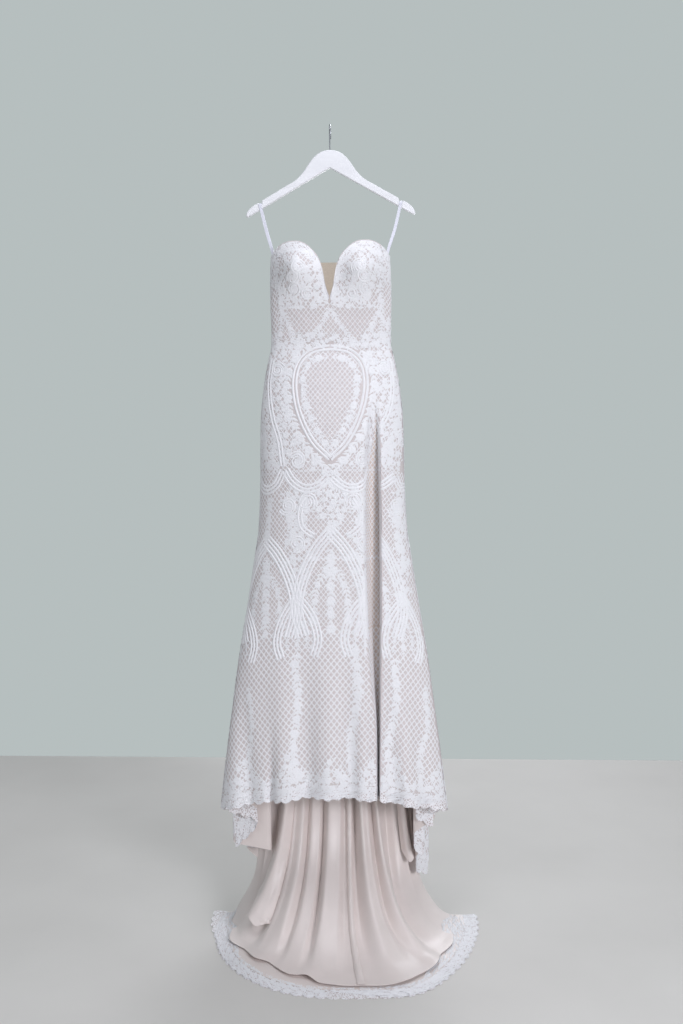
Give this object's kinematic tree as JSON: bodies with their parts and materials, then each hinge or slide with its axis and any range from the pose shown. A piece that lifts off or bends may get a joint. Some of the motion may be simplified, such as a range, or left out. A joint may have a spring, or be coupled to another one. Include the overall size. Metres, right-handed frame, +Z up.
{
  "type": "wedding dress on a hanger",
  "caption": "Strapless lace wedding dress with a sweetheart neck, a fitted skirt that flares to a scalloped hem, and a satin-lined train, on a wooden hanger.",
  "frame": {"origin": "the inside of the hanger's hook at its top, where it rests on what holds it", "axes": "+Z up, the dress's front faces -Y, +X to the right of someone facing it; the train lies on a floor 2.112 m below"},
  "size_m": [0.7256, 0.4613, 2.1154],
  "materials": {
    "lace": "ivory lace over a blush lining, matte",
    "hem_lace": "corded scalloped lace, matte",
    "satin": "champagne satin, soft sheen",
    "ribbon": "plain white ribbon",
    "painted_wood": "white satin paint",
    "steel": "bright steel wire"
  },
  "bodies": {
    "root": {"hanger_body": "painted_wood", "hanger_hook": "steel", "hanging_loop_left": "ribbon", "hanging_loop_right": "ribbon", "bodice_cup_left": "lace", "bodice_cup_right": "lace", "bodice_midriff": "lace", "bodice_side_left": "lace", "bodice_side_right": "lace", "bodice_back_left": "lace", "bodice_back_right": "lace", "back_placket": "lace", "skirt_front": "lace", "skirt_side_left": "lace", "skirt_side_right": "lace", "skirt_back_left": "lace", "skirt_back_right": "lace", "hem_lace_front": "hem_lace", "hem_lace_side_left": "hem_lace", "hem_lace_side_right": "hem_lace", "hem_lace_back_left": "hem_lace", "hem_lace_back_right": "hem_lace", "train_lining_left": "satin", "train_lining_right": "satin", "train_lining_seam": "satin"}
  },
  "joints": []
}
